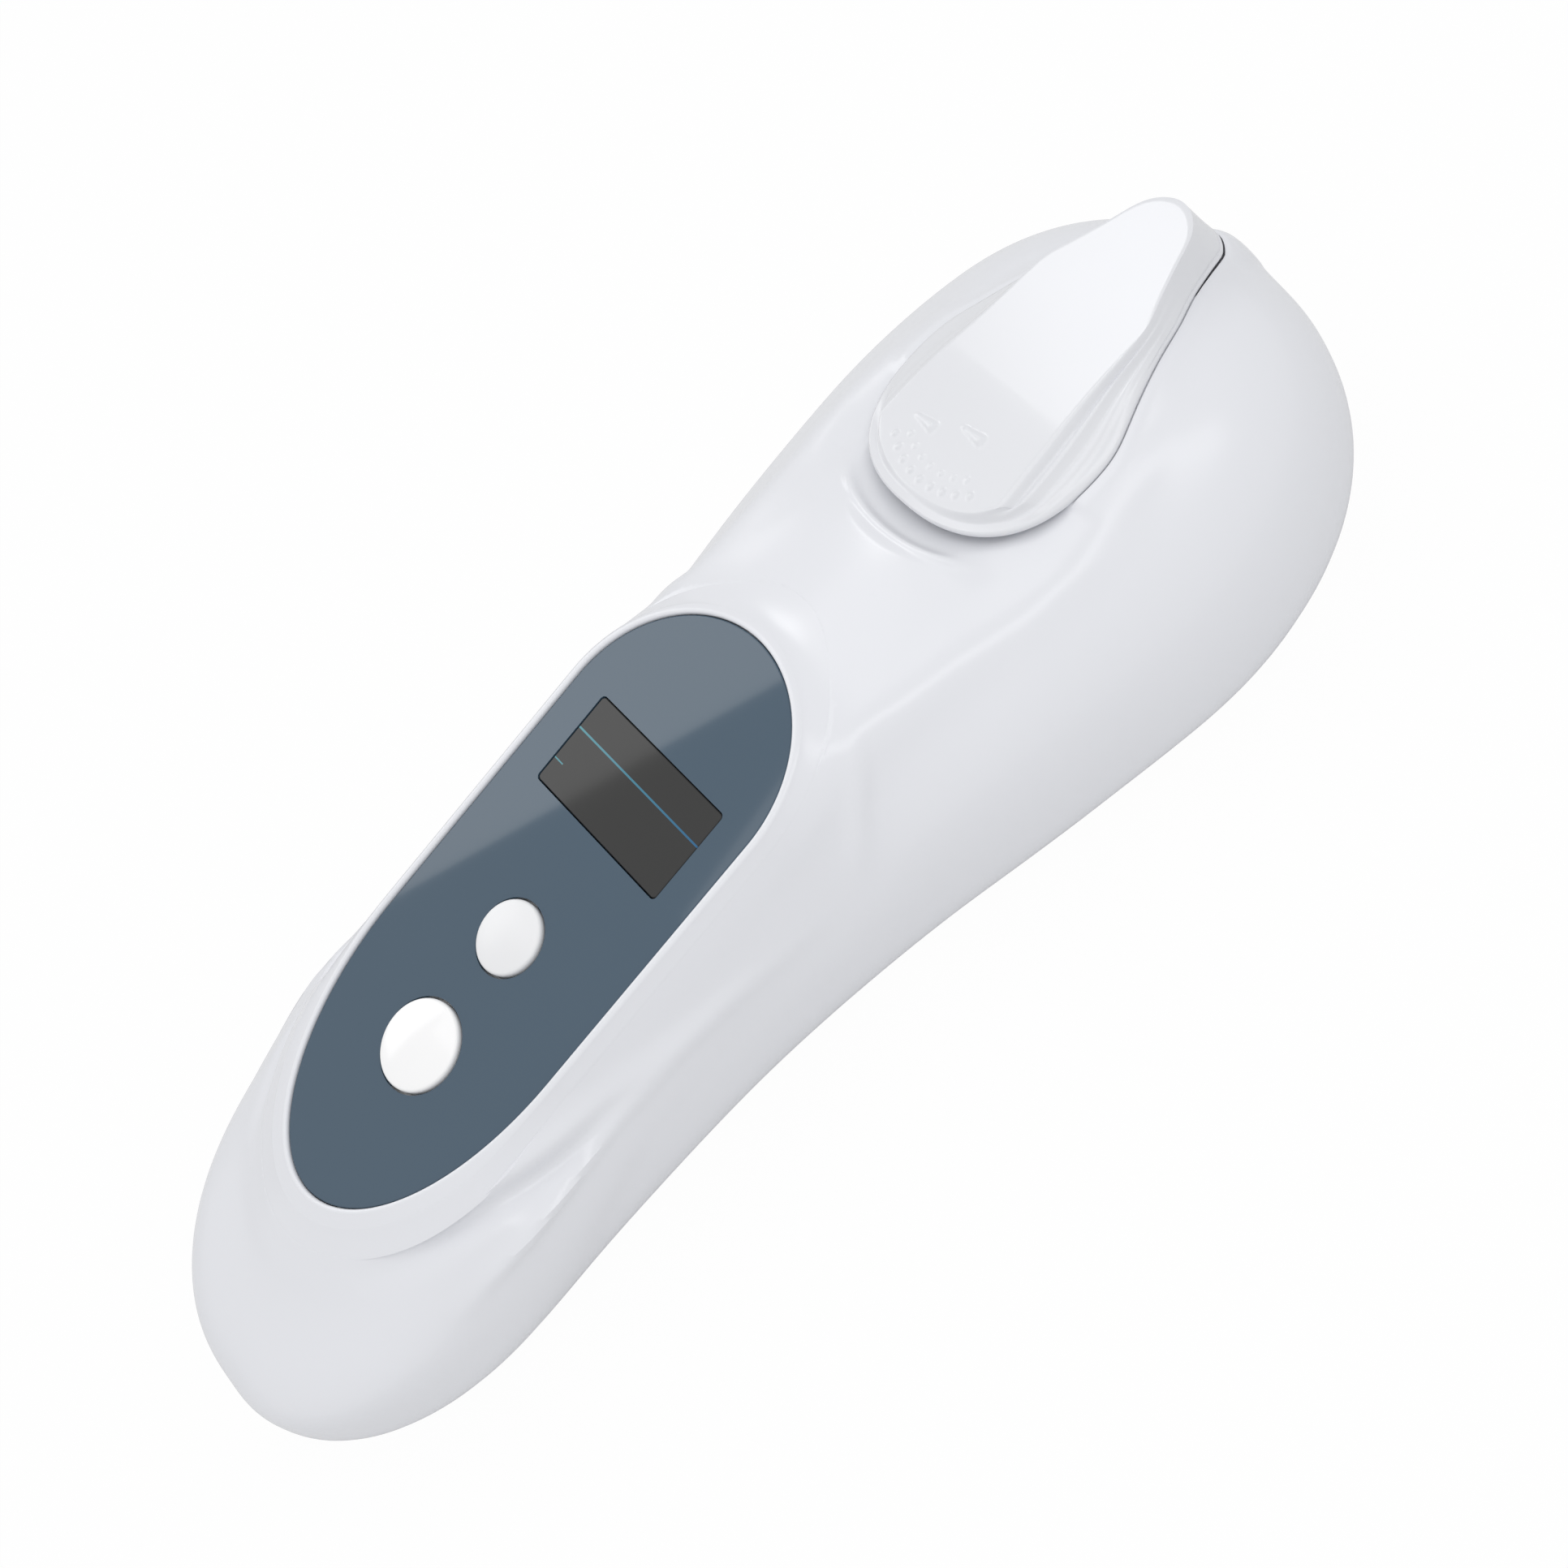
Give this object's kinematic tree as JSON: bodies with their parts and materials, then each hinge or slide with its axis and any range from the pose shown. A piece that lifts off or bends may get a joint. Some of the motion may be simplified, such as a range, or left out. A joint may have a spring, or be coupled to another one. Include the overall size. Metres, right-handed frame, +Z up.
{
  "type": "brix refractometer",
  "caption": "Handheld digital refractometer: rounded waisted white body, tilted oval panel with display and push buttons, and a hinged teardrop lid over a sample dish.",
  "frame": {"origin": "centre of the footprint, on the flat base the instrument lies on", "axes": "+X from the tail of the handle to the head with the sample dish, +Z up, +Y to the left seen from the tail"},
  "size_m": [0.1914, 0.0692, 0.0405],
  "materials": {
    "white_shell": "glossy moulded white ABS",
    "lid_white": "glossy moulded white ABS",
    "panel_slate": "smooth glossy slate blue-grey overlay",
    "display_dark": "dark grey display glass, switched off",
    "button_white": "glossy white, domed",
    "rubber_grey": "matt grey silicone rubber",
    "board_green": "green solder mask",
    "plastic_black": "matt black",
    "steel": "plain steel",
    "dish_steel": "turned stainless steel",
    "contact_brass": "spring brass",
    "cell_can": "plain dark sleeve",
    "optical_glass": "polished clear glass",
    "lamp_amber": "clear amber resin",
    "ribbon_amber": "amber film"
  },
  "bodies": {
    "housing": {"upper_shell": "white_shell", "lower_shell": "white_shell", "shell_gasket": "rubber_grey", "shell_screw_1": "steel", "shell_screw_2": "steel", "shell_screw_3": "steel", "shell_screw_4": "steel", "battery_1": "cell_can", "battery_spring_1": "steel", "battery_contact_1": "contact_brass", "battery_2": "cell_can", "battery_spring_2": "steel", "battery_contact_2": "contact_brass", "battery_link_plate": "contact_brass", "front_panel": "panel_slate", "lcd_window": "display_dark", "lcd_holder": "plastic_black", "lcd_glass": "display_dark", "lcd_contact_strip": "rubber_grey", "keypad_mat": "rubber_grey", "small_dome_switch": "steel", "large_dome_switch": "steel", "board_screw_1": "steel", "board_screw_2": "steel", "board_screw_3": "steel", "board_screw_4": "steel", "main_board": "board_green", "hinge_pin": "steel", "sample_dish": "dish_steel", "prism_seal": "rubber_grey", "prism": "optical_glass", "optics_screw_1": "steel", "optics_screw_2": "steel", "optics_block": "plastic_black", "lamp_board": "board_green", "lamp": "lamp_amber", "lens": "optical_glass", "line_sensor": "plastic_black", "sensor_board": "board_green", "temperature_sensor": "plastic_black", "ribbon_cable": "ribbon_amber"},
    "lid": {"lid_cover": "lid_white", "lid_pad": "rubber_grey"},
    "small_button": {"small_button": "button_white"},
    "large_button": {"large_button": "button_white"},
    "battery_door": {"battery_door": "white_shell"}
  },
  "joints": [
    {"name": "lid_hinge", "type": "hinge", "parent": "housing", "child": "lid", "pos_m": [0.08704, 0, 0.035], "axis": [0, 1, 0], "range_deg": [0, 100]},
    {"name": "small_button_press", "type": "slide", "parent": "housing", "child": "small_button", "axis": [0.1288, 0, -0.9917], "range_m": [0, 0.0006], "stiffness_N_per_m": 1500, "springref_m": -0.0002},
    {"name": "large_button_press", "type": "slide", "parent": "housing", "child": "large_button", "axis": [0.1288, 0, -0.9917], "range_m": [0, 0.0006], "stiffness_N_per_m": 1500, "springref_m": -0.0002},
    {"name": "battery_door_lift", "type": "slide", "parent": "housing", "child": "battery_door", "axis": [0, 0, -1], "range_m": [0, 0.01]}
  ]
}
